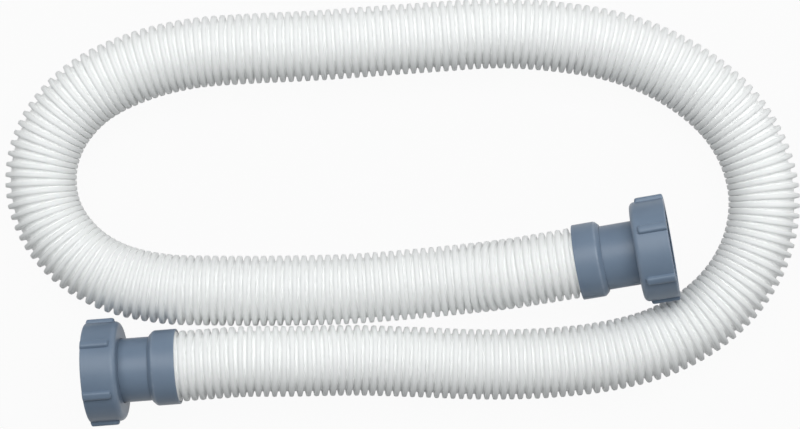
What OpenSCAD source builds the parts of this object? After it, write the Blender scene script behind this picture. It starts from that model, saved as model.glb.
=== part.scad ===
// Corrugated pool hose with a union coupling at each end.
// X runs along the long side of the loop, Z points up, and Z = 0 is the ground that it lies on.
// Each coupling is drawn along its own Z axis, from the collar's open rim at 0 to the nut's mouth.

/* [Hose] */
// Inside diameter of the hose
hose_bore = 38; // [32:0.5:44]
// Thickness of the wall at the foot of the ribs
hose_wall = 0.8; // [0.6:0.1:1.2]
// Height of a rib above the foot of the ribs
rib_height = 3.7; // [2.5:0.1:4.5]
// Number of ribs from one end of the hose to the other
rib_count = 200; // [120:2:200]

/* [Tail piece] */
// Wall of the spigot that goes into the hose
spigot_wall = 2.2; // [1.6:0.1:3]
// Length of the spigot past the hose's end
spigot_length = 18; // [14:1:22]
// Clearance between the spigot and the hose, which the glue fills
spigot_fit = 0.2; // [0.15:0.05:0.3]
// How far the neck stands out past the bore of the hose
neck_step = 2.2; // [1.2:0.1:2.6]
// Length of neck that shows between the collar and the nut
neck_free = 21; // [16:0.5:26]
// Thickness of the flange that holds the nut
flange_thick = 3; // [2.6:0.1:3.6]
// Clearance between the flange's edge and the thread's crest
flange_gap = 1.1; // [0.6:0.1:2]

/* [Collar] */
// Wall of the collar round the hose
collar_wall = 1.3; // [1:0.1:2]
// How far the hose goes into the collar
collar_depth = 15; // [12:0.5:18]
// Length of the collar's sloped shoulder, from the hose's end to its front edge
shoulder_length = 3.5; // [2.5:0.5:6]
// Height of the small square lip at the front of the shoulder
lip_height = 0.8; // [0.4:0.1:1.2]
// Clearance between the ribs and the inside of the collar
collar_fit = 0.2; // [0.1:0.05:0.3]
// Radius where the shoulder meets the collar's side
shoulder_round = 2.5; // [1:0.5:3]
// Clearance round the neck, which the glue fills
neck_fit = 0.1; // [0.05:0.05:0.2]

/* [Union nut] */
// Diameter over the crests of the inside thread
thread_bore = 56.6; // [55:0.2:60]
// Depth of the thread, which is also that of the relief behind it
thread_height = 1.4; // [1:0.1:1.8]
// Length of the threaded wall
thread_length = 9.5; // [8:0.5:10]
// Length of the nut
nut_length = 23; // [22.5:0.5:26]
// Wall of the nut outside the thread's crest
nut_wall = 4.7; // [4:0.1:6]
// Thickness of the wall behind the flange
nut_back = 3.5; // [3:0.5:4.5]
// Radius of the nut's rear edge
rear_round = 3.5; // [2:0.5:3.5]
// Bevel at the nut's mouth, outside and inside
mouth_bevel = 0.8; // [0.5:0.1:1]
// Clearance round the neck, on the radius
nut_fit = 0.3; // [0.25:0.05:0.5]
// Clearance between the flange and the wall behind it
nut_play = 0.3; // [0.2:0.05:0.5]

/* [Grip bars] */
// Number of grip bars on a nut
grip_count = 6; // [4:1:8]
// Height of a bar above the nut's side
grip_height = 2.5; // [1.5:0.1:3]
// Width of a bar at its foot
grip_width = 5.5; // [5:0.5:9]
// Length of a bar from the nut's mouth
grip_length = 19; // [14:0.5:20]

/* [Seal ring] */
// Thickness of the rubber ring
seal_cord = 2.6; // [2.2:0.1:2.8]
// Diameter of the ring at the middle of its section
seal_ring = 46; // [45:0.5:47]
// How far the ring stands out of its groove
seal_proud = 1; // [0.8:0.1:1.2]
// Clearance round the ring in its groove
seal_fit = 0.1; // [0.05:0.05:0.15]

/* [How it lies] */
// How far the right end is raised, where its nut leans on the lower run
right_rise = 18; // [16:0.5:22]
// How far the left nut is slid back along its neck
left_slide = 2.5; // [0:0.5:8]
// Turn of the left nut about its axis
left_turn = 38; // [0:1:59]
// Turn of the right nut about its axis
right_turn = 33; // [0:1:59]

/* [Hidden] */

white = [0.93, 0.94, 0.93];
blue_grey = [0.42, 0.49, 0.56];
black = [0.09, 0.09, 0.09];
$fn = 96;

// Route of the hose, end to end, drawn for crests whose flats are drawn_flat from the middle.
// The third number is the height above where it lies on the ground, as a share of that end's rise.
route = [
    [-163, -104, 1], [-113, -100.2, 1], [-71, -99.8, 0.75], [-29, -99.5, 0.3],
    [13, -101, 0.05], [55, -102.5, 0], [97, -101.5, 0], [137, -97, 0],
    [173, -87.5, 0], [203.5, -70.5, 0], [225.5, -48, 0], [239, -21, 0],
    [243, 9, 0], [236.5, 38, 0], [221, 64, 0], [198.5, 84.5, 0],
    [172, 100, 0], [141, 111, 0], [105, 117, 0], [65, 119.5, 0],
    [23, 117, 0], [-19, 114, 0], [-61, 111, 0], [-103, 109, 0],
    [-143, 105.5, 0], [-179, 96, 0], [-209.5, 80.5, 0], [-231, 57.5, 0],
    [-241, 30, 0], [-238, 0, 0], [-221.5, -25.5, 0], [-195.5, -43, 0],
    [-161, -51.5, 0], [-121, -53, 0], [-79, -53, 0], [-37, -52, 0],
    [3, -49, 0], [43, -45, 0.1], [81, -40, 0.52], [131, -31.2, 1]
];
spans = len(route) - 1;
drawn_flat = 22.88;

// The hose has eight sides, with flat ones at the top, bottom and both flanks.
sides = 8;
half_side = 180 / sides;
crest_true = hose_bore / 2 + hose_wall + rib_height;
// Outside the collars the crest holds the area of the round one
crest = crest_true * sqrt(2 * PI / (sides * sin(360 / sides)));
crest_flat = crest * cos(half_side);
valley = (hose_bore / 2 + hose_wall) / cos(half_side);
bore = hose_bore / 2 / cos(half_side);
bore_ribs = 2;

// Radii and places of the coupling, worked out from the hose outwards
spigot_r = hose_bore / 2 - spigot_fit;
water_r = spigot_r - spigot_wall;
neck_r = hose_bore / 2 + neck_step;
collar_bore_r = crest_true + collar_fit;
collar_r = collar_bore_r + collar_wall;
collar_front = collar_depth + shoulder_length;
nut_rear = collar_front + neck_free;
nut_mouth = nut_rear + nut_length;
thread_r = thread_bore / 2;
relief_r = thread_r + thread_height;
nut_r = thread_r + nut_wall;
nut_hole_r = neck_r + nut_fit;
flange_rear = nut_rear + nut_back + nut_play;
flange_front = flange_rear + flange_thick;
flange_r = thread_r - flange_gap;
edge = 0.6;
ground_gap = 0.2;
left_rise = nut_r + ground_gap - crest_flat;
groove_depth = seal_cord - seal_proud;
groove_half = seal_cord / 2 + seal_fit;

// Points of an arc about a centre, for the rounded corners of a turned outline
function arc(centre, r, from, to, steps = 8) =
    [for (i = [0:steps]) let (a = from + (to - from) * i / steps) centre + r * [cos(a), sin(a)]];

function unit(v) = v / norm(v);

// The route grows with the hose, so that its runs keep clear of each other
spread = crest_flat / drawn_flat;
function rise(i) = i < spans / 2 ? left_rise : right_rise;
function knot(i) = [route[i][0] * spread, route[i][1] * spread, route[i][2] * rise(i)];
knots = [for (i = [0:spans]) knot(i)];

// Direction at a knot; the end spans are straight
function heading(i) =
    i <= 1 ? unit(knots[1] - knots[0]) :
    i >= spans - 1 ? unit(knots[spans] - knots[spans - 1]) :
    unit(knots[i + 1] - knots[i - 1]);

// Place and direction at a distance t along the route, counted in spans
function span_at(t) = min(floor(t), spans - 1);
function chord(i) = norm(knots[i + 1] - knots[i]);
function sweep(t) =
    let (i = span_at(t), u = t - i, reach = chord(i))
    (2 * pow(u, 3) - 3 * pow(u, 2) + 1) * knots[i]
    + (pow(u, 3) - 2 * pow(u, 2) + u) * reach * heading(i)
    + (3 * pow(u, 2) - 2 * pow(u, 3)) * knots[i + 1]
    + (pow(u, 3) - pow(u, 2)) * reach * heading(i + 1);
function place(t) = let (c = sweep(t)) [c[0], c[1], crest_flat + max(0, c[2])];
function course(t) =
    let (i = span_at(t), u = t - i, reach = chord(i))
    unit(6 * (pow(u, 2) - u) * (knots[i] - knots[i + 1])
        + (3 * pow(u, 2) - 4 * u + 1) * reach * heading(i)
        + (3 * pow(u, 2) - 2 * u) * reach * heading(i + 1));

// Length along the hose against distance in spans
steps = 16;
trail = [for (i = [0:spans * steps]) place(i / steps)];
lengths = [for (i = 0, run = 0; i <= spans * steps;
    run = run + (i < spans * steps ? norm(trail[i + 1] - trail[i]) : 0), i = i + 1) run];
hose_length = lengths[spans * steps];
gauge = [for (i = [0:spans * steps]) [lengths[i], i / steps]];
function station(run) = lookup(run, gauge);

// One ring of points square to the hose at a length along it
function ring(run, r) =
    let (t = station(run), c = place(t), ahead = course(t),
        across = unit(cross([0, 0, 1], ahead)), up = cross(ahead, across))
    [for (k = [0:sides - 1]) let (a = half_side + k * 360 / sides)
        c + r * cos(a) * across + r * sin(a) * up];

// Outer rings alternate between the foot and the crest of a rib
rib_pitch = hose_length / rib_count;
outer_rings = 2 * rib_count;
bore_rings = rib_count / bore_ribs;
function in_collar(run) = min(run, hose_length - run) < collar_depth;
function rib_r(k) = k % 2 == 0 ? valley : in_collar(k * rib_pitch / 2) ? crest_true : crest;
hose_points = concat(
    [for (k = [0:outer_rings]) each ring(k * rib_pitch / 2, rib_r(k))],
    [for (k = [0:bore_rings]) each ring(k * bore_ribs * rib_pitch, bore)]);
bore_start = (outer_rings + 1) * sides;

// Two triangles between a side of one ring and the same side of another
function next(k) = (k + 1) % sides;
function strip(a, b, k) =
    [[a + k, b + next(k), a + next(k)], [a + k, b + k, b + next(k)]];
hose_faces = concat(
    [for (n = [0:outer_rings - 1], k = [0:sides - 1]) each strip(n * sides, (n + 1) * sides, k)],
    [for (n = [0:bore_rings - 1], k = [0:sides - 1])
        each strip(bore_start + (n + 1) * sides, bore_start + n * sides, k)],
    [for (k = [0:sides - 1]) each strip(bore_start, 0, k)],
    [for (k = [0:sides - 1])
        each strip(outer_rings * sides, bore_start + bore_rings * sides, k)]);

// Least gap in plan between two stretches of hose that lie side by side, crest to crest.
// Points less than five widths apart along the hose belong to one stretch.
middle = [for (k = [0:rib_count]) let (c = place(station(k * rib_pitch))) [c[0], c[1]]];
apart = ceil(5 * 2 * crest_flat / rib_pitch);
least_gap = min([for (i = [0:rib_count - apart], j = [i + apart:rib_count])
    norm(middle[i] - middle[j])]) - 2 * crest_flat;
echo(hose_length = hose_length, rib_pitch = rib_pitch, least_gap = least_gap);

// Puts a coupling on an end of the hose, with its Z axis pointing out of the nut's mouth
module at_end(last) {
    end = place(last ? spans : 0);
    out = (last ? 1 : -1) * course(last ? spans : 0);
    turn = atan2(out[1], out[0]);
    tilt = acos(out[2]);
    translate(end) rotate([0, tilt, turn]) translate([0, 0, -collar_depth]) children();
}

module hose() {
    color(white) polyhedron(points = hose_points, faces = hose_faces, convexity = 10);
}

module tail_piece() {
    color(blue_grey) rotate_extrude() difference() {
        polygon([
            [water_r, collar_depth - spigot_length], [spigot_r - edge, collar_depth - spigot_length],
            [spigot_r, collar_depth - spigot_length + edge], [spigot_r, collar_depth],
            [neck_r, collar_depth], [neck_r, flange_rear],
            [flange_r - edge, flange_rear], [flange_r, flange_rear + edge],
            [flange_r, flange_front - edge], [flange_r - edge, flange_front],
            [water_r + edge, flange_front], [water_r, flange_front - edge]
        ]);
        translate([seal_ring / 2 - groove_half, flange_front - groove_depth])
            square([2 * groove_half, seal_cord]);
    }
}

module collar() {
    hole_r = neck_r + neck_fit;
    lip_r = hole_r + lip_height;
    lean = atan2(collar_r - lip_r, shoulder_length);
    reach = shoulder_round * tan(lean / 2);
    color(blue_grey) rotate_extrude() polygon(concat(
        [[hole_r, collar_depth], [collar_bore_r, collar_depth], [collar_bore_r, 0], [collar_r, 0]],
        arc([collar_r - shoulder_round, collar_depth - reach], shoulder_round, 0, lean),
        [[lip_r, collar_front], [hole_r, collar_front]]));
}

module seal() {
    color(black) rotate_extrude()
        translate([seal_ring / 2, flange_front + seal_proud - seal_cord / 2]) circle(d = seal_cord);
}

module grip_bar() {
    bar_r = (pow(grip_width / 2, 2) + pow(grip_height, 2)) / (2 * grip_height);
    translate([nut_r + grip_height - bar_r, 0, nut_mouth - grip_length + bar_r]) {
        cylinder(h = grip_length - bar_r - mouth_bevel / 2, r = bar_r, $fn = 48);
        sphere(r = bar_r, $fn = 48);
    }
}

module union_nut(turn) {
    color(blue_grey) difference() {
        union() {
            rotate_extrude() polygon(concat(
                [[nut_hole_r, nut_rear]],
                arc([nut_r - rear_round, nut_rear + rear_round], rear_round, -90, 0),
                [[nut_r, nut_mouth - mouth_bevel], [nut_r - mouth_bevel, nut_mouth],
                    [nut_hole_r, nut_mouth]]));
            for (i = [0:grip_count - 1]) rotate(turn + i * 360 / grip_count) grip_bar();
        }
        translate([0, 0, nut_rear - nut_back]) cylinder(h = 2 * nut_length, r = nut_hole_r);
        translate([0, 0, nut_rear + nut_back])
            cylinder(h = nut_length - nut_back - mouth_bevel - thread_length, r = relief_r);
        translate([0, 0, nut_rear + nut_back]) cylinder(h = nut_length, r = thread_r);
        translate([0, 0, nut_mouth - mouth_bevel])
            cylinder(h = 2 * mouth_bevel, r1 = thread_r, r2 = thread_r + 2 * mouth_bevel);
    }
}

hose();
at_end(false) tail_piece();  // left_tail_piece
at_end(false) collar();  // left_collar
at_end(false) seal();  // left_seal_ring
at_end(false) translate([0, 0, -left_slide]) union_nut(left_turn);  // left_union_nut
at_end(true) tail_piece();  // right_tail_piece
at_end(true) collar();  // right_collar
at_end(true) seal();  // right_seal_ring
at_end(true) union_nut(right_turn);  // right_union_nut
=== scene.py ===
import math

import bpy
import numpy as np
from mathutils import Matrix, Vector


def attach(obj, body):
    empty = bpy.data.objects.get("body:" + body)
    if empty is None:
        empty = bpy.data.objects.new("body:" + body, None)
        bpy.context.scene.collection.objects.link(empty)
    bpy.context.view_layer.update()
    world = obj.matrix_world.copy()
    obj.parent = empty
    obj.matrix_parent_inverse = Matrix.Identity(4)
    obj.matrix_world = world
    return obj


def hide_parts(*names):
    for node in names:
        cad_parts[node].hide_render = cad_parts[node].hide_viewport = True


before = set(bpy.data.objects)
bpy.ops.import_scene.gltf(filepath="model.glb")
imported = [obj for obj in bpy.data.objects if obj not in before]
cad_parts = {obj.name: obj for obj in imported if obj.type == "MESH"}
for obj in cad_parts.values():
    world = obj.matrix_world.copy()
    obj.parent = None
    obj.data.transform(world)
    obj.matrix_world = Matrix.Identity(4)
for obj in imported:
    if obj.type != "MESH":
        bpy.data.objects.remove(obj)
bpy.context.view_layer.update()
mm = 0.001  # the couplings' sizes are in millimetres, the hose's and the room's in metres

cameraSet = {
    "over": (-0.0010, -0.0020),  # the spot on the floor it looks straight down on
    "height": 1.2135,
    "lens": 79.92,
    "sensor": 36,
    "reach": (0.05, 20),  # nearest and farthest that it sees
}


def makeCamera(cfg):
    lens = bpy.data.cameras.new("camera")
    lens.lens, lens.sensor_width = cfg["lens"], cfg["sensor"]
    lens.clip_start, lens.clip_end = cfg["reach"]
    holder = bpy.data.objects.new("camera", lens)
    holder.location = (*cfg["over"], cfg["height"])
    bpy.context.collection.objects.link(holder)
    bpy.context.scene.camera = holder
    bpy.context.scene.view_settings.view_transform = "Standard"


makeCamera(cameraSet)
print("camera is up")


# One output socket of a node. An expression on it adds Math nodes to the tree.
class Wire:
    def __init__(self, tree, socket):
        self.tree, self.socket = tree, socket

    def node(self, kind, settings=None, sockets=None, pick=0):
        made = self.tree.nodes.new("ShaderNode" + kind)
        for name, value in (settings or {}).items():
            setattr(made, name, value)
        for name, value in (sockets or {}).items():
            if isinstance(value, Wire):
                self.tree.links.new(value.socket, made.inputs[name])
            else:
                made.inputs[name].default_value = value
        return Wire(self.tree, made.outputs[pick] if made.outputs else None)

    def maths(self, operation, first, second):
        return self.node("Math", {"operation": operation}, {0: first, 1: second})

    def __add__(self, other): return self.maths("ADD", self, other)
    def __radd__(self, other): return self.maths("ADD", other, self)
    def __sub__(self, other): return self.maths("SUBTRACT", self, other)
    def __rsub__(self, other): return self.maths("SUBTRACT", other, self)
    def __mul__(self, other): return self.maths("MULTIPLY", self, other)
    def __rmul__(self, other): return self.maths("MULTIPLY", other, self)

    # 0 below low, 1 above high, and soft between them
    def step(self, low, high):
        return self.node("MapRange", {"interpolation_type": "SMOOTHSTEP"},
                         {"Value": self, "From Min": low, "From Max": high})

    # first where this is 0, second where it is 1
    def paint(self, first, second):
        first, second = (c if isinstance(c, Wire) else (*c, 1) for c in (first, second))
        # a Mix node's colours go in at 6 and 7, and the mixed one comes out at 2
        return self.node("Mix", {"data_type": "RGBA"}, {0: self, 6: first, 7: second}, 2)

    def noise(self, scale, detail=2, rough=0.5):
        return self.node("TexNoise", {}, {"Vector": self, "Scale": scale,
                                          "Detail": detail, "Roughness": rough})

    def bump(self, strength, distance=0.0002):
        return self.node("Bump", {}, {"Height": self, "Strength": strength,
                                      "Distance": distance})


def startMaterial(name):
    material = bpy.data.materials.new(name)
    material.use_nodes = True
    material.node_tree.nodes.clear()
    root = Wire(material.node_tree, None)
    return material, root, root.node("TexCoord", pick="Object")


def plastic(root, colour, rough, normal, **more):
    shader = root.node("BsdfPrincipled", {}, {
        "Base Color": colour, "Roughness": rough, "Normal": normal, **more})
    root.node("OutputMaterial", {}, {"Surface": shader})


hosePaint = {
    "crest": ((0.86, 0.875, 0.87), (0.88, 0.895, 0.89)),
    # painted light: the gaps and the ribs' sides are painted paler than the crests,
    # standing in for light that comes through the thin wall and fills the grooves
    "gap": (0.935, 0.945, 0.94),
    "side": (0.97, 0.98, 0.975),
    "sideFrom": (0, 0.3),      # shares of a rib's height where gap turns to side
    "crestFrom": (0.62, 0.9),  # and side to crest
    "rough": (0.42, 0.14),     # least, and what its clouds add
    "grain": 0.04,
}


def hoseMaterial(cfg):
    material, root, where = startMaterial("blown white plastic")
    rib = root.node("Attribute", {"attribute_name": "rib"}, pick="Fac")
    cloud = where.noise(scale=9, detail=3)
    crest = cloud.step(0.3, 0.7).paint(*cfg["crest"])
    # painted light: paler colours in the gaps and on the ribs' sides, which lift their
    # shade
    paintedGrooveLight = rib.step(*cfg["sideFrom"]).paint(cfg["gap"], cfg["side"])
    colour = rib.step(*cfg["crestFrom"]).paint(paintedGrooveLight, crest)
    least, more = cfg["rough"]
    skin = where.noise(scale=900) * 0.6 + where.noise(scale=170) * 0.4
    plastic(root, colour, least + more * cloud, skin.bump(cfg["grain"]), IOR=1.45)
    return material


fittingPaint = {
    "base": ((0.148, 0.203, 0.280), (0.170, 0.230, 0.312)),
    "wearAndHighlight": (0.27, 0.33, 0.42),  # at the edges: rubbed wear, and a painted highlight
    "edgeWearAndHighlight": (0.25, 0.35),      # how much every edge is painted as a highlight, and what rubbed patches add
    "smoother": 0.10,            # and how much less rough an edge is
    "rough": (0.36, 0.12),
    "grain": 0.16,
}


def fittingMaterial(cfg):
    material, root, where = startMaterial("moulded blue-grey plastic")
    edge = root.node("Attribute", {"attribute_name": "edge"}, pick="Fac")
    cloud = where.noise(scale=28, detail=4, rough=0.55)
    base = cloud.step(0.3, 0.7).paint(*cfg["base"])
    patch = where.noise(scale=130, detail=3).step(0.42, 0.62)
    least, more = cfg["edgeWearAndHighlight"]
    # painted highlight: every edge is made lighter, and rubbed patches add real wear on top
    colour = (edge * (least + more * patch)).paint(base, cfg["wearAndHighlight"])
    least, more = cfg["rough"]
    rough = least + more * cloud - cfg["smoother"] * edge
    skin = where.noise(scale=420) * 0.5 + where.noise(scale=1500, detail=1) * 0.5
    plastic(root, colour, rough, skin.bump(cfg["grain"]), IOR=1.45)
    return material


rubberPaint = {
    "black": (0.018, 0.018, 0.019),
    "bloom": (0.045, 0.045, 0.046),  # the grey that old rubber gets in places
    "rough": (0.62, 0.2),
    "grain": 0.25,
}


def rubberMaterial(cfg):
    material, root, where = startMaterial("black rubber")
    bloom = where.noise(scale=160, detail=4, rough=0.6)
    colour = bloom.step(0.35, 0.75).paint(cfg["black"], cfg["bloom"])
    least, more = cfg["rough"]
    skin = where.noise(scale=1200)
    plastic(root, colour, least + more * bloom, skin.bump(cfg["grain"]))
    return material


finishes = {
    "hose": hoseMaterial(hosePaint),
    "fitting": fittingMaterial(fittingPaint),
    "seal": rubberMaterial(rubberPaint),
}
print("materials are mixed")

hoseSet = {
    # x, y and the height above where it lies flat, end to end
    "route": [
        (-0.163, -0.104, 0.0103), (-0.113, -0.1002, 0.0103), (-0.071, -0.0998, 0.0077),
        (-0.029, -0.0995, 0.0031), (0.013, -0.101, 0.0005), (0.055, -0.1025, 0),
        (0.097, -0.1015, 0), (0.137, -0.097, 0), (0.173, -0.0875, 0),
        (0.2035, -0.0705, 0), (0.2255, -0.048, 0), (0.239, -0.021, 0),
        (0.243, 0.009, 0), (0.2365, 0.038, 0), (0.221, 0.064, 0),
        (0.1985, 0.0845, 0), (0.172, 0.1, 0), (0.141, 0.111, 0),
        (0.105, 0.117, 0), (0.065, 0.1195, 0), (0.023, 0.117, 0),
        (-0.019, 0.114, 0), (-0.061, 0.111, 0), (-0.103, 0.109, 0),
        (-0.143, 0.1055, 0), (-0.179, 0.096, 0), (-0.2095, 0.0805, 0),
        (-0.231, 0.0575, 0), (-0.241, 0.03, 0), (-0.238, 0, 0),
        (-0.2215, -0.0255, 0), (-0.1955, -0.043, 0), (-0.161, -0.0515, 0),
        (-0.121, -0.053, 0), (-0.079, -0.053, 0), (-0.037, -0.052, 0),
        (0.003, -0.049, 0), (0.043, -0.045, 0.0018), (0.081, -0.04, 0.0094),
        (0.131, -0.0312, 0.018),
    ],
    "lie": 0.02288,        # height of its middle where it lies flat
    "crest": 0.0235,       # radius over the ribs
    "foot": 0.0198,        # radius between the ribs
    "wall": 0.0008,
    "hollow": 0.7,         # share of a rib's height that is hollow inside
    "ribs": 268,
    "ribWidth": 0.0036,    # at half height; in a bend only the gaps close and open
    "leastGap": 0.14,      # share of a pitch that stays open inside a bend
    "fullGap": 0.0015,     # a gap this wide is as deep as the rib is high
    "leastDepth": 0.45,    # share of that depth that a gap keeps inside a bend
    "flank": 0.0010,       # length that a rib's side takes
    "leastFlank": 0.0002,  # half of that length is never less than this
    "crown": 0.14,         # share of its height that a rib falls towards its sides
    "sides": 64,
    "perRib": 16,          # rings of points for each rib
    "perPoint": 60,        # steps from one point of the route to the next
}


# A smooth line through the route, straight at both ends, as (points, distances run)
def smoothRoute(cfg):
    p = np.array(cfg["route"])
    n = len(p) - 1
    ahead = np.array([p[min(i + 1, n)] - p[max(i - 1, 0)] for i in range(n + 1)])
    ahead[1], ahead[n - 1] = p[1] - p[0], p[n] - p[n - 1]
    ahead /= np.linalg.norm(ahead, axis=1)[:, None]
    line = []
    for i in range(n):
        reach = np.linalg.norm(p[i + 1] - p[i])
        for u in np.arange(0, 1, 1 / cfg["perPoint"]):
            line.append((2 * u**3 - 3 * u**2 + 1) * p[i]
                        + (u**3 - 2 * u**2 + u) * reach * ahead[i]
                        + (3 * u**2 - 2 * u**3) * p[i + 1]
                        + (u**3 - u**2) * reach * ahead[i + 1])
    line = np.array(line + [p[n]])
    line[:, 2] = cfg["lie"] + np.maximum(0, line[:, 2])
    run = np.r_[0, np.cumsum(np.linalg.norm(np.diff(line, axis=0), axis=1))]
    return line, run


# Centres and the two directions square to the line, at these distances along it
def ringFrames(line, run, at):
    centre = np.stack([np.interp(at, run, line[:, k]) for k in range(3)], 1)
    slope = np.gradient(line, run, axis=0)
    ahead = np.stack([np.interp(at, run, slope[:, k]) for k in range(3)], 1)
    ahead /= np.linalg.norm(ahead, axis=1)[:, None]
    across = np.cross((0, 0, 1), ahead)
    across /= np.linalg.norm(across, axis=1)[:, None]
    return centre, across, np.cross(ahead, across)


# A mesh from a grid of points that closes both ways. Its mark is what the materials
# read, and edges bent by more than sharp degrees are shaded as edges.
def gridMesh(name, grid, mark, values, slot, body, sharp):
    rows, cols = grid.shape[:2]
    i, j = (index.ravel() for index in np.indices((rows, cols)))
    near, far = i * cols, (i + 1) % rows * cols
    k = (j + 1) % cols
    faces = np.stack([near + j, near + k, far + k, far + j], 1)
    mesh = bpy.data.meshes.new(name)
    mesh.from_pydata(grid.reshape(-1, 3).tolist(), [], faces.tolist())
    marked = mesh.attributes.new(mark, "FLOAT", "POINT")
    marked.data.foreach_set("value", values.astype(np.float32).ravel())
    mesh.shade_smooth()
    mesh.set_sharp_from_angle(angle=math.radians(sharp))
    mesh.materials.append(finishes[slot])
    made = bpy.data.objects.new(name, mesh)
    bpy.context.collection.objects.link(made)
    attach(made, body)
    return made


# How far a rib stands up, from 0 to 1, at a distance from the middle of the nearest one
def ribHeight(off, pitch, cfg):
    half = np.minimum(cfg["ribWidth"] / 2, pitch * (1 - cfg["leastGap"]) / 2)
    flank = np.minimum(cfg["flank"] / 2, np.maximum(pitch / 2 - half, cfg["leastFlank"]))
    t = np.clip((half + flank - off) / (2 * flank), 0, 1)
    crown = 1 - cfg["crown"] * np.minimum(1, off / half) ** 2
    return t * t * (3 - 2 * t) * crown


def makeHose(cfg):
    line, run = smoothRoute(cfg)
    length = run[-1]
    pitch = length / cfg["ribs"]
    high = cfg["crest"] - cfg["foot"]
    turn = np.linspace(0, 2 * np.pi, cfg["sides"], endpoint=False)

    def rings(at, radius):
        centre, across, up = ringFrames(line, run, at)
        spokes = (np.cos(turn)[None, :, None] * across[:, None]
                  + np.sin(turn)[None, :, None] * up[:, None])
        return centre[:, None] + radius[:, :, None] * spokes

    # ribs keep their width, so each side of the hose has a pitch of its own in a bend
    at = np.linspace(0, length, cfg["ribs"] * cfg["perRib"] + 1)
    skin = rings(at, np.full((len(at), 1), cfg["crest"]))
    local = pitch * np.linalg.norm(np.gradient(skin, at, axis=0), axis=2)
    rib = ribHeight(np.abs((at / pitch) % 1 - 0.5)[:, None] * local, local, cfg)
    depth = np.clip((local - cfg["ribWidth"]) / cfg["fullGap"], cfg["leastDepth"], 1)
    outside = rings(at, cfg["crest"] - high * (1 - rib) * depth)
    # the inside of the thin wall goes back in two steps a rib: between ribs and in one
    back = np.linspace(length, 0, cfg["ribs"] * 2 + 1)
    inRib = np.arange(len(back)) % 2 == 1
    hollow = np.where(inRib, cfg["hollow"], 0) * high
    inside = rings(back, (cfg["foot"] - cfg["wall"] + hollow)[:, None])
    grid = np.concatenate([outside, inside])
    grid[:, :, 2] = np.maximum(grid[:, :, 2], 0.0)
    rib = np.concatenate([rib, np.zeros(inside.shape[:2])])
    made = gridMesh("corrugated_hose", grid, "rib", rib, "hose", "hose", sharp=80)
    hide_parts("hose")
    return made, line, length


hose, hoseLine, hoseLength = makeHose(hoseSet)
print("hose is blown,", round(hoseLength, 4), "m long")


# Each piece of a coupling is turned about the coupling's axis, in millimetres: its
# outline is in radius and u, which runs from the collar's open rim out of the nut
couplingSet = {
    "insert": 15.0,     # the hose goes this far in
    "slide": {"left": 2.5, "right": 0.0},  # how far each nut sits back from its flange
    "turn": {"left": 38, "right": 33},     # where its grip bars stand, in degrees
    "columns": 192,     # of points, round a piece without bars
}


def couplingFrame(side, back=0.0):
    p = hoseSet["route"]
    end, inner = (p[0], p[1]) if side == "left" else (p[-1], p[-2])
    out = (Vector(end) - Vector(inner)).normalized()
    tilt, turn = math.acos(out.z), math.atan2(out.y, out.x)
    spin = Matrix.Rotation(turn, 3, "Z") @ Matrix.Rotation(tilt, 3, "Y")
    end = Vector(end) + Vector((0, 0, hoseSet["lie"]))
    start = end - out * (couplingSet["insert"] + back) * mm
    return np.array(start), np.array(spin)


cornerSet = {
    "most": 0.48,        # share of a straight side that a corner may take
    "sharp": 0.02,       # a corner that takes less stays sharp
    "step": 0.25,        # length between the points round a corner
    "steps": (3, 9),     # least and most of them
    "wearAndHighlight": (0.2, 0.8),  # edge mark where a corner begins, and what its middle has more; it gives rubbed wear and a painted highlight
}


# Rounds the corners of a closed outline. Each corner is (radius, u, rounding), and each
# point that comes back is (radius, u, edge mark), where the edge mark gives rubbed wear and
# a painted highlight.
def roundOutline(corners, longest, cfg=cornerSet):
    outline = []
    for i, (r, u, soft) in enumerate(corners):
        here = np.array((r, u))
        a = np.array(corners[i - 1][:2]) - here
        b = np.array(corners[(i + 1) % len(corners)][:2]) - here
        la, lb = np.linalg.norm(a), np.linalg.norm(b)
        a, b = a / la, b / lb
        half = math.acos(np.clip(a @ b, -1, 1)) / 2
        back = min(soft / math.tan(half), la * cfg["most"], lb * cfg["most"])
        if back < cfg["sharp"]:
            outline.append((r, u, 0.0))
            continue
        bend = back * math.tan(half)
        middle = here + (a + b) / np.linalg.norm(a + b) * bend / math.sin(half)
        first, last = here + a * back - middle, here + b * back - middle
        arc = math.pi - 2 * half
        least, most = cfg["steps"]
        steps = max(least, min(most, int(bend * arc / cfg["step"])))
        for k in range(steps + 1):
            t = k / steps
            way = math.sin((1 - t) * arc) * first + math.sin(t * arc) * last
            wearAndHighlight = math.sin(math.pi * t) * cfg["wearAndHighlight"][1] + cfg["wearAndHighlight"][0]
            outline.append((*(middle + way / math.sin(arc)), wearAndHighlight))
    # long straight stretches are cut up, so that bars and threads can rise from them
    loop = []
    for i, (r, u, wearAndHighlight) in enumerate(outline):
        nextR, nextU = outline[(i + 1) % len(outline)][:2]
        cuts = max(1, math.ceil(math.hypot(nextR - r, nextU - u) / longest))
        for k in range(cuts):
            t = k / cuts
            loop.append((r + (nextR - r) * t, u + (nextU - u) * t, wearAndHighlight if k == 0 else 0.0))
    return np.array(loop)


# Turns an outline round a coupling's axis. What lift gives is added to the radius.
def lathe(name, side, body, outline, slot="fitting", angle=None, back=0.0, lift=None,
          sharp=40):
    start, spin = couplingFrame(side, back)
    if angle is None:
        angle = np.linspace(0, 2 * np.pi, couplingSet["columns"], endpoint=False)
    radius, u, wearAndHighlight = (np.repeat(part[:, None], len(angle), 1) for part in outline.T)
    if lift:
        radius = radius + lift(radius, u, angle[None, :])
    points = np.stack([radius * np.cos(angle), radius * np.sin(angle), u], 2) * mm
    return gridMesh(name, points @ spin.T + start, "edge", wearAndHighlight, slot, body, sharp)


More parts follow.
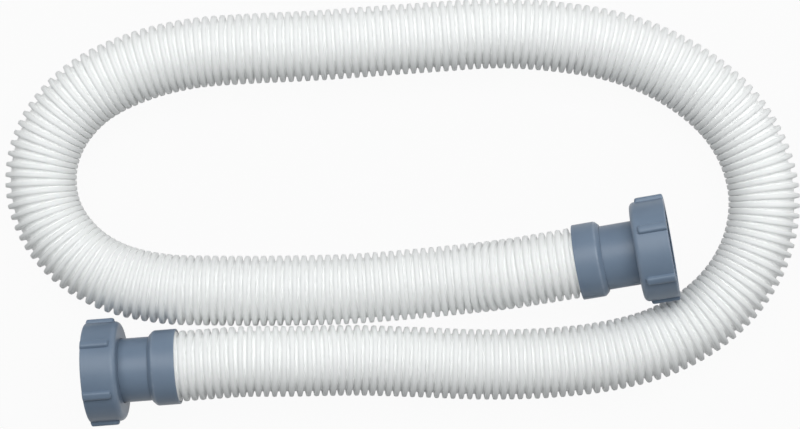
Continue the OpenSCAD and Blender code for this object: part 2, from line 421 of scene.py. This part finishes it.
tailSet = {
    "waterway": 16.6, "spigot": 18.8, "spigotBack": -3.0, "neck": 21.2,
    "flange": 27.2, "flangeFrom": 43.3, "flangeTo": 46.3,
    "groove": (21.6, 24.4, 1.6),  # inner and outer radius, and depth
    "round": 0.5, "endRound": 0.6, "grooveRound": 0.2,
}


def makeTail(side, cfg):
    inner, outer, deep = cfg["groove"]
    insert, rear, front = couplingSet["insert"], cfg["flangeFrom"], cfg["flangeTo"]
    soft, fine = cfg["round"], cfg["grooveRound"]
    corners = [
        (cfg["waterway"], cfg["spigotBack"], soft),
        (cfg["spigot"], cfg["spigotBack"], cfg["endRound"]),
        (cfg["spigot"], insert, 0), (cfg["neck"], insert, 0),
        (cfg["neck"], rear, soft), (cfg["flange"], rear, soft),
        (cfg["flange"], front, soft), (outer, front, fine), (outer, front - deep, fine),
        (inner, front - deep, fine), (inner, front, fine),
        (cfg["waterway"], front, cfg["endRound"]),
    ]
    made = lathe(side + "_tail", side, "hose", roundOutline(corners, longest=3))
    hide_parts(side + "_tail_piece")
    return made


collarSet = {
    "bore": 23.7, "outside": 25.0, "neck": 21.3, "lip": 22.1,
    "depth": couplingSet["insert"], "front": 18.5,
    "lipShort": (0.4, 1.1),  # how far its outer and inner edge end before the front
    "round": 0.5, "boreRound": 0.3, "rimRound": 0.4, "shoulderRound": 2.5,
}


def makeCollar(side, cfg):
    outerEnd, innerEnd = (cfg["front"] - short for short in cfg["lipShort"])
    corners = [
        (cfg["neck"], cfg["depth"], 0), (cfg["bore"], cfg["depth"], cfg["boreRound"]),
        (cfg["bore"], 0, cfg["rimRound"]), (cfg["outside"], 0, cfg["round"]),
        (cfg["outside"], cfg["depth"], cfg["shoulderRound"]),
        (cfg["lip"], outerEnd, cfg["round"]), (cfg["neck"], innerEnd, 0),
    ]
    made = lathe(side + "_sleeve", side, "hose", roundOutline(corners, longest=2))
    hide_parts(side + "_collar")
    return made


sealSet = {"ring": 23.0, "cord": 2.6, "from": 44.7, "sides": 24}


def makeSeal(side, cfg):
    turn = np.linspace(0, 2 * np.pi, cfg["sides"], endpoint=False)
    half = cfg["cord"] / 2
    outline = np.stack([cfg["ring"] - half * np.cos(turn),
                        cfg["from"] + half + half * np.sin(turn), turn * 0], 1)
    made = lathe(side + "_ring", side, "hose", outline, "seal", sharp=80)
    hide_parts(side + "_seal_ring")
    return made


nutSet = {
    "hole": 21.5, "rear": 39.5, "back": 3.5, "length": 23.0, "outside": 33.0,
    "bevel": 0.8, "rearRound": 3.5, "backRound": 0.5, "holeRound": 0.3, "rimRound": 0.2,
    "crest": 28.3, "root": 29.7, "threadLength": 9.5, "pitch": 4.2,
    # the share of its depth that the thread is cut to is wide less steep times the way
    # from a cut's middle, in pitches
    "wide": 2.6, "steep": 9.0,
    "bars": 6, "barHeight": 2.5, "barWidth": 5.5, "barLength": 19.0,
    "square": 3.2,      # 2 makes a bar's section round, more makes it squarer
    "barBevel": 1.4,    # length over which a bar's end drops at the nut's mouth
    "barDrop": 0.7,     # how far it drops there: 1 would end it level with the nut
    "barFoot": (31.5, 1.4),  # radius above which bars rise, and length to their full rise
    "columns": 384,
    "gather": 0.55,     # how much the columns of points gather at the bars
    "near": 0.01,       # what counts as on the thread's wall
}


def gripBars(radius, u, angle, cfg):
    half, power = cfg["barWidth"] / 2, cfg["square"]
    gap = 2 * math.pi / cfg["bars"]
    mouth = cfg["rear"] + cfg["length"]
    begin = mouth - cfg["barLength"] + half
    aside = cfg["outside"] * np.sin((angle + gap / 2) % gap - gap / 2) / half
    behind = np.maximum(0, begin - u) / half
    fromMiddle = np.minimum(1, np.abs(aside) ** power + behind ** power)
    ahead = np.clip((u - mouth) / cfg["barBevel"] + 1, 0, 1)
    rise = cfg["barHeight"] * (1 - fromMiddle) ** (1 / power)
    foot, blend = cfg["barFoot"]
    outer = np.clip((radius - foot) / blend, 0, 1)
    return rise * np.sqrt(1 - cfg["barDrop"] * ahead ** 2) * outer


def nutThread(radius, u, angle, threadFrom, threadTo, cfg):
    phase = (u / cfg["pitch"] - angle / (2 * np.pi)) % 1
    cut = np.clip(cfg["wide"] - np.abs(phase - 0.5) * cfg["steep"], 0, 1)
    middle, half = (threadFrom + threadTo) / 2, cfg["threadLength"] / 2
    onWall = (radius < cfg["crest"] + cfg["near"]) & (abs(u - middle) < half + cfg["near"])
    return np.where(onWall, (cfg["root"] - cfg["crest"]) * cut, 0)


def makeNut(side, cfg):
    rear, mouth = cfg["rear"], cfg["rear"] + cfg["length"]
    threadTo = mouth - cfg["bevel"]
    threadFrom = threadTo - cfg["threadLength"]
    corners = [
        (cfg["hole"], rear, cfg["holeRound"]), (cfg["outside"], rear, cfg["rearRound"]),
        (cfg["outside"], mouth, cfg["bevel"]),
        (cfg["crest"] + cfg["bevel"], mouth, cfg["rimRound"]),
        (cfg["crest"], threadTo, 0), (cfg["crest"], threadFrom, 0),
        (cfg["root"], threadFrom, 0), (cfg["root"], rear + cfg["back"], cfg["backRound"]),
        (cfg["hole"], rear + cfg["back"], cfg["holeRound"]),
    ]
    start = math.radians(couplingSet["turn"][side])
    even = np.linspace(0, 2 * np.pi, cfg["columns"], endpoint=False)
    angles = start + even - cfg["gather"] * np.sin(cfg["bars"] * even) / cfg["bars"]

    def lift(radius, u, angle):
        return (gripBars(radius, u, angle - start, cfg)
                + nutThread(radius, u, angle, threadFrom, threadTo, cfg))

    outline = roundOutline(corners, longest=0.45)
    made = lathe(side + "_nut", side, side + "_nut", outline, angle=angles,
                 back=couplingSet["slide"][side], lift=lift, sharp=55)
    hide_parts(side + "_union_nut")
    return made


for side in ("left", "right"):
    makeTail(side, tailSet)
    makeCollar(side, collarSet)
    makeSeal(side, sealSet)
    makeNut(side, nutSet)
print("fittings are turned")

leftStart = couplingFrame("left")[0]

studioSet = {
    "floor": 3.0,       # half its width
    "drop": 0.0002,     # how far it lies below the hose
    "floorGrey": ((0.34, 0.34, 0.34), (0.37, 0.37, 0.37)),
    "floorRough": 0.9,
    "backdrop": 0.95,   # share of plain white in what is seen of the floor
    "lamps": {
        "key": {"size": (2.2, 1.0), "at": (0.06, 0.5, 1.4), "power": 22.8},
        "window": {"size": (0.6, 0.4), "at": (1.35, 0.9, 0.35), "power": 2},
    },
    "sky": (0.95, 0.98, 1.0),
    "world": 0.225,
}


def floorMaterial(cfg):
    material, root, where = startMaterial("pale floor")
    grey = where.noise(scale=40, detail=3).step(0.2, 0.8).paint(*cfg["floorGrey"])
    matt = root.node("BsdfPrincipled", {}, {
        "Base Color": grey, "Roughness": cfg["floorRough"]})
    glow = root.node("Emission", {}, {"Color": (1, 1, 1, 1), "Strength": 1.0})
    seen = root.node("LightPath", pick="Is Camera Ray")
    mirrored = root.node("LightPath", pick="Is Glossy Ray")
    shown = root.node("MixShader", {}, {
        0: (seen + mirrored) * cfg["backdrop"], 1: matt, 2: glow})
    root.node("OutputMaterial", {}, {"Surface": shown})
    return material


def makeStudio(cfg):
    half = cfg["floor"]
    mesh = bpy.data.meshes.new("floor")
    corners = [(-half, -half, 0), (half, -half, 0), (half, half, 0), (-half, half, 0)]
    mesh.from_pydata(corners, [], [(0, 1, 2, 3)])
    mesh.materials.append(floorMaterial(cfg))
    floor = bpy.data.objects.new("floor", mesh)
    floor.location.z = -cfg["drop"]
    bpy.context.collection.objects.link(floor)
    for name, values in cfg["lamps"].items():
        lamp = bpy.data.lights.new(name, "AREA")
        lamp.shape = "RECTANGLE"
        lamp.size, lamp.size_y = values["size"]
        lamp.energy = values["power"]
        holder = bpy.data.objects.new(name, lamp)
        holder.location = values["at"]
        holder.rotation_euler = (-Vector(values["at"])).to_track_quat("-Z", "Y").to_euler()
        bpy.context.collection.objects.link(holder)
    world = bpy.data.worlds.new("soft room")
    world.use_nodes = True
    sky = world.node_tree.nodes["Background"]
    sky.inputs["Color"].default_value = (*cfg["sky"], 1)
    sky.inputs["Strength"].default_value = cfg["world"]
    bpy.context.scene.world = world


makeStudio(studioSet)
print("studio is lit")

print("done")
